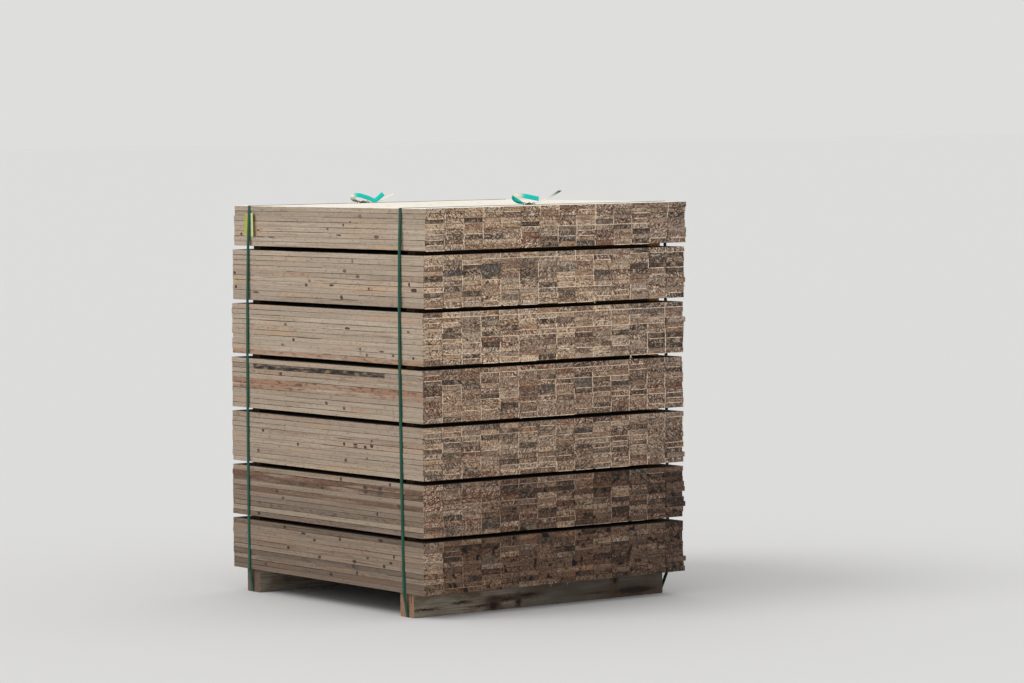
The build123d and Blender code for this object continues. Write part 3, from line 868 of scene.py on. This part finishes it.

# How each strap leans along Y for every metre across and up, and its two loose ends: stations of
# (X, Y, Z, turn, painted glow, painted highlight), in mm from the buckle's middle on the boards, with the
# strap's turn about its own line in degrees, how much painted sunlight glows through it, and how much painted
# highlight it has
STRAPS = {
    "front": {"across": -0.016, "up": 0.019,
              "loop": [(-12, 0, 5.2, 0, 0.6, 0), (-28, 0, 6, 15, 1, 0), (-44, 0, 12, 45, 1, 0.1),
                       (-60, -1, 21, 62, 0.8, 0), (-64, -3, 28, 66, 0.6, 0), (-57, -5, 33, 70, 1, 1),
                       (-42, -6, 33, 72, 1, 0.9), (-14, -7, 29.5, 74, 1, 0), (12, -9, 24, 78, 1, 0),
                       (34, -10, 20, 80, 1, 0.1)],
              "tail": [(12, 0, 5.2, 0, 0.2, 0.4), (23, 0, 5.6, 0, 0.2, 0.9), (51, 1, 11.5, 2, 0.2, 1),
                       (80, 2, 22, 3, 0.2, 0.8), (108, 3, 33, 4, 0.1, 0.5), (136, 5, 46, 5, 0.0, 0)]},
    "rear": {"across": -0.012, "up": 0.0,
             "loop": [(-12, 0, 5.2, 0, 0.2, 0), (-26, 0, 6.2, 10, 0.1, 0), (-38, 0, 11, 30, 0.2, 0.4),
                      (-47, -2, 19, 48, 0.4, 0.7), (-45, -4, 26, 58, 0.8, 0.9), (-34, -6, 29, 66, 1, 0.3),
                      (-16, -8, 27.5, 72, 1, 0), (18, -9, 17.5, 76, 1, 0), (38, -9, 9.5, 74, 1, 0.1),
                      (49, -9, 9.5, 70, 1, 0.1), (82, -8, 32, 70, 1, 0)],
             "tail": [(12, 0, 5.2, 0, 0.2, 0.3), (23, 0, 5.2, 0, 0.2, 0.9), (70, 1, 6.5, 4, 0.2, 1),
                      (105, 2, 20, 8, 0.2, 1), (140, 3, 30.5, 10, 0.2, 1)]},
}

# Polypropylene, rolled while soft: deep green where it is pulled tight, with a fine raised diamond pattern,
# drawn 3 mm apart because the real 1.5 mm wouldn't show. Where it stands loose, painted sunlight glowing
# through it makes it bright turquoise, and painted highlights make it cream.
green_plastic, tree, shader, where = surface("embossed_green_polypropylene", 0.4)
shader.inputs["Specular IOR Level"].default_value = 0.2
painted_glow = add(tree, "Attribute", attribute_name="painted_glow").outputs["Fac"]
painted_highlight = add(tree, "Attribute", attribute_name="painted_highlight").outputs["Fac"]
scuffs = grain(tree, where, 6, 90, 2, 3.0)
tone = add(tree, "ValToRGB", {"Fac": scuffs}, stops=[(0.35, "#043D2D"), (0.65, "#08553F")])
tone = stain(tree, tone, ("#04D6C6", painted_glow, 0.0, 1.0, 1.0), ("#FBF1DE", painted_highlight, 0.0, 1.0, 1.0))
parts = add(tree, "SeparateXYZ", {0: where})
along_strap = add(tree, "Math", {0: parts.outputs["X"], 1: parts.outputs["Z"]}, operation="ADD")
ridges = []
for direction in ("ADD", "SUBTRACT"):
    diagonal = add(tree, "Math", {0: along_strap, 1: parts.outputs["Y"]}, operation=direction)
    phase = add(tree, "Math", {0: diagonal, 1: 2 * math.pi / DIAMOND}, operation="MULTIPLY")
    ridges.append(add(tree, "Math", {0: phase}, operation="SINE"))
diamonds = add(tree, "Math", {0: ridges[0], 1: ridges[1]}, operation="MULTIPLY")
finish(tree, shader, tone, diamonds, 0.3, 0.3 * MM)


def girth(end, stand_off):
    """The tight part of a strap: a band round the outline of all that it holds, as a hull makes it."""
    corners = []
    for number in ROWS_IN_TIER:
        low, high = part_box(f"tier_{number}_boards")
        corners += [(x, z) for x in (low.x - stand_off, high.x + stand_off)
                    for z in (low.z - stand_off, high.z + stand_off)]
    low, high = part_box(f"bearer_{end}")
    corners += [(low.x - stand_off, GROOVE - stand_off), (high.x + stand_off, GROOVE - stand_off)]
    if end == "rear":
        corners += [(tag_high.x - TAG_SHEET - stand_off, z) for z in (tag_low.z, tag_high.z)]
    ribbon = bmesh.new()
    for kind in ("painted_glow", "painted_highlight"):
        ribbon.faces.layers.float.new(kind)
    for x, z in corners:
        for y in (-STRAP_WIDTH / 2, STRAP_WIDTH / 2):
            bmesh.ops.create_vert(ribbon, co=(x, y, z))
    bmesh.ops.convex_hull(ribbon, input=ribbon.verts[:])
    bmesh.ops.delete(ribbon, geom=[vert for vert in ribbon.verts if not vert.link_faces], context="VERTS")
    flanks = [face for face in ribbon.faces if abs(face.normal.y) > SQUARE_ON]
    bmesh.ops.delete(ribbon, geom=flanks, context="FACES")
    bmesh.ops.dissolve_limit(ribbon, angle_limit=math.radians(0.01), verts=ribbon.verts, edges=ribbon.edges)
    folds = [edge for edge in ribbon.edges if edge.is_manifold and edge.calc_face_angle() > FOLD]
    bmesh.ops.bevel(ribbon, geom=folds, offset=STRAP_CORNER, segments=4, affect="EDGES", profile=0.5,
                    material=-1)
    return ribbon


def between(stations):
    """The stations with smooth ones added between them, by a spline through each four in a row."""
    padded = [stations[0], *stations, stations[-1]]
    smooth = []
    for four in zip(padded, padded[1:], padded[2:], padded[3:]):
        for t in [step / STATION_STEPS for step in range(STATION_STEPS)]:
            smooth.append([0.5 * (2 * b + (c - a) * t + (2 * a - 5 * b + 4 * c - d) * t ** 2
                                  + (3 * b - a - 3 * c + d) * t ** 3) for a, b, c, d in zip(*four)])
    return smooth + [list(stations[-1])]


def run_loose(ribbon, edge, middle, stations):
    """Draws the strap on from its last edge through the stations."""
    finishes = [ribbon.faces.layers.float[kind] for kind in ("painted_glow", "painted_highlight")]
    pair = sorted(edge.verts, key=lambda vert: vert.co.y)
    smooth = between(stations)
    places = [middle + Vector(station[:3]) * MM for station in smooth]
    for count, place in enumerate(places):
        ahead = places[min(count + 1, len(places) - 1)] - places[max(count - 1, 0)]
        side = Vector((0, 1, 0))
        side = (side - ahead * side.dot(ahead) / ahead.length_squared).normalized()
        side.rotate(Matrix.Rotation(math.radians(smooth[count][3]), 3, ahead))
        grown = bmesh.ops.extrude_edge_only(ribbon, edges=[edge])["geom"]
        edge = next(item for item in grown if isinstance(item, bmesh.types.BMEdge) and not item.link_faces[1:]
                    and not set(item.verts) & set(pair))
        for layer, amount in zip(finishes, smooth[count][4:]):
            edge.link_faces[0][layer] = min(max(amount, 0.0), 1.0)
        drawn_from = {link.other_vert(vert): vert for vert in edge.verts for link in vert.link_edges}
        pair = [drawn_from[old] for old in pair]
        for vert, aside in zip(pair, (-STRAP_WIDTH / 2, STRAP_WIDTH / 2)):
            vert.co = place + side * aside


boards_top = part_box(f"tier_{max(ROWS_IN_TIER)}_boards")[1].z
for end, route in STRAPS.items():
    stand_off = STRAP_SEAT + STRAP_SHEET / 2
    turn_radius = WIRE / 2 + STRAP_SEAT + STRAP_SHEET / 2
    low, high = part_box(f"buckle_{end}")
    middle = Vector(((low.x + high.x) / 2, 0, boards_top))
    ribbon = girth(end, stand_off)
    for side in (-1, 1):
        top = [face for face in ribbon.faces if face.calc_center_median().z > boards_top]
        around = {item for face in top for item in (*face.verts, *face.edges)}
        bmesh.ops.bisect_plane(ribbon, geom=[*around, *top], dist=CUT_AT_CORNER, plane_no=(1, 0, 0),
                               plane_co=(middle.x + side * BAR_SPACING / 2, 0, 0))
    opened = [face for face in ribbon.faces if face.calc_center_median().z > boards_top
              and abs(face.calc_center_median().x - middle.x) < BAR_SPACING / 4]
    bmesh.ops.delete(ribbon, geom=opened, context="FACES_ONLY")
    for side, stations in ((-1, route["loop"]), (1, route["tail"])):
        cut = middle.x + side * BAR_SPACING / 2
        edge = next(item for item in ribbon.edges if item.is_boundary and all(
            abs(vert.co.x - cut) < SAME_CORNER and vert.co.z > boards_top for vert in item.verts))
        over_bar = (cut, 0, boards_top + stand_off + turn_radius)
        turned = bmesh.ops.spin(ribbon, geom=[edge, *edge.verts], cent=over_bar, axis=(0, 1, 0),
                                angle=math.pi * side, steps=TURN_STEPS)["geom_last"]
        edge = next(item for item in turned if isinstance(item, bmesh.types.BMEdge))
        run_loose(ribbon, edge, middle, stations)
    bmesh.ops.recalc_face_normals(ribbon, faces=ribbon.faces)
    mid_height = (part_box(f"bearer_{end}")[1].z + boards_top) / 2
    lean_up, lean_across = route["up"], route["across"]
    centre_y = (low.y + high.y) / 2 - lean_across * middle.x - lean_up * (boards_top - mid_height)
    lean = Matrix(((1, 0, 0, 0), (lean_across, 1, lean_up, centre_y - lean_up * mid_height),
                   (0, 0, 1, 0), (0, 0, 0, 1)))
    bmesh.ops.transform(ribbon, matrix=lean, verts=ribbon.verts)
    for face in ribbon.faces:
        face.smooth = True
    strap = settle(ribbon, f"green_strap_{end}", [green_plastic], "straps", f"strap_{end}")
    thicken = strap.modifiers.new("sheet", "SOLIDIFY")
    thicken.thickness = STRAP_SHEET
    thicken.offset = 0.0


# Buckles
# One wire buckle closes each strap: two wavy rails and four bars of dark phosphated wire, bent and welded.
# The two inner bars lie on the strap, and it turns back over them.

BUCKLE_LENGTH = 34 * MM
BUCKLE_HUMP = 4.5 * MM

# Drawn steel wire with a phosphate coat: nearly black, with a dull metal shine and grey scuffs.
dark_wire, tree, shader, where = surface("phosphated_steel_wire", 0.5)
shader.inputs["Metallic"].default_value = 0.8
grime = grain(tree, where, 3, 3, 0, 3.0)
tone = add(tree, "ValToRGB", {"Fac": grime}, stops=[(0.35, "#1C1C1E"), (0.7, "#4A4846")])
finish(tree, shader, tone, grime, 0.2, 0.2 * MM)

for end, route in STRAPS.items():
    low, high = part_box(f"buckle_{end}")
    wires = bpy.data.curves.new(f"wire_buckle_{end}", "CURVE")
    wires.dimensions = "3D"
    wires.bevel_depth = WIRE / 2
    wires.bevel_resolution = 3
    wires.resolution_u = 6
    bar_z = STRAP_SEAT * 2 + STRAP_SHEET + WIRE / 2
    ends, inner = BUCKLE_LENGTH / 2, BAR_SPACING / 2
    rail = (high.y - low.y - WIRE) / 2 - abs(route["across"]) * ends
    crest = (ends + inner) / 2
    wave = [(-ends, 0), (-crest, BUCKLE_HUMP), (-inner, 0), (inner, 0), (crest, BUCKLE_HUMP), (ends, 0)]
    frame_line = [(x, -rail, z) for x, z in wave] + [(x, rail, z) for x, z in reversed(wave)]
    bars = [[(x, -rail, 0), (x, rail, 0)] for x in (-inner, inner)]
    for line, closed in [(frame_line, True)] + [(bar, False) for bar in bars]:
        spline = wires.splines.new("BEZIER")
        spline.bezier_points.add(len(line) - 1)
        spline.use_cyclic_u = closed
        for point, (x, y, z) in zip(spline.bezier_points, line):
            point.co = ((low.x + high.x) / 2 + x, (low.y + high.y) / 2 + y + route["across"] * x,
                        boards_top + bar_z + z)
            point.handle_left_type = point.handle_right_type = "AUTO"
    buckle = bpy.data.objects.new(f"wire_buckle_{end}", wires)
    bpy.context.collection.objects.link(buckle)
    wires.materials.append(dark_wire)
    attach(buckle, "root")
    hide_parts(f"buckle_{end}")


# Floor, light and camera
# A pale plain floor, one large soft lamp above the far left and an even pale sky. The camera stands
# where the photograph was taken from, about 1.6 m up and nearly 14 m away.

FLOOR_HALF = 400
LAMP_SHINES = (4.0, -1.5, -5.0)
CAMERA_PLACE = (-7.7987, -11.1173, 1.6299)
CAMERA_YAW, CAMERA_PITCH, CAMERA_ROLL = 35.8721, 3.1461, -0.7437

floor_paint, _, shader, _ = surface("pale_matt_floor", 0.9)
shader.inputs["Base Color"].default_value = linear("#D9D8D5")
shader.inputs["Specular IOR Level"].default_value = 0.2
floor = bmesh.new()
bmesh.ops.create_grid(floor, x_segments=1, y_segments=1, size=FLOOR_HALF)
ground = show(floor, "pale_floor", [floor_paint])

# The sky lights the pack evenly, and where it is seen it has the colour of the far floor
world = bpy.data.worlds.new("pale_sky")
bpy.context.scene.world = world
world.use_nodes = True
tree = world.node_tree
lit = tree.nodes["Background"]
lit.inputs["Color"].default_value = linear("#FBFCFF")
lit.inputs["Strength"].default_value = 0.85
seen = add(tree, "Background", {"Color": "#DEDEDD", "Strength": 1.0})
rays = add(tree, "LightPath")
looked_at = rays.outputs["Is Camera Ray"]
for ray in ("Is Glossy Ray", "Is Transmission Ray"):
    looked_at = add(tree, "Math", {0: looked_at, 1: rays.outputs[ray]}, operation="MAXIMUM").outputs[0]
sky = add(tree, "MixShader", {0: looked_at, 1: lit, 2: seen})
tree.links.new(sky.outputs[0], tree.nodes["World Output"].inputs["Surface"])

lamp = bpy.data.lights.new("soft_key", "SUN")
lamp.angle = math.radians(30)
lamp.energy = 0.9
key = bpy.data.objects.new("soft_key", lamp)
key.rotation_euler = Vector(LAMP_SHINES).to_track_quat("-Z", "Y").to_euler()
bpy.context.collection.objects.link(key)

lens = bpy.data.cameras.new("camera")
lens.lens = 135.52
lens.sensor_width = 36
camera = bpy.data.objects.new("camera", lens)
bpy.context.collection.objects.link(camera)
camera.matrix_world = (Matrix.Translation(CAMERA_PLACE) @ Matrix.Rotation(math.radians(-CAMERA_YAW), 4, "Z")
                       @ Matrix.Rotation(math.radians(90 - CAMERA_PITCH), 4, "X")
                       @ Matrix.Rotation(math.radians(CAMERA_ROLL), 4, "Z"))
bpy.context.scene.camera = camera
bpy.context.scene.view_settings.view_transform = "Standard"
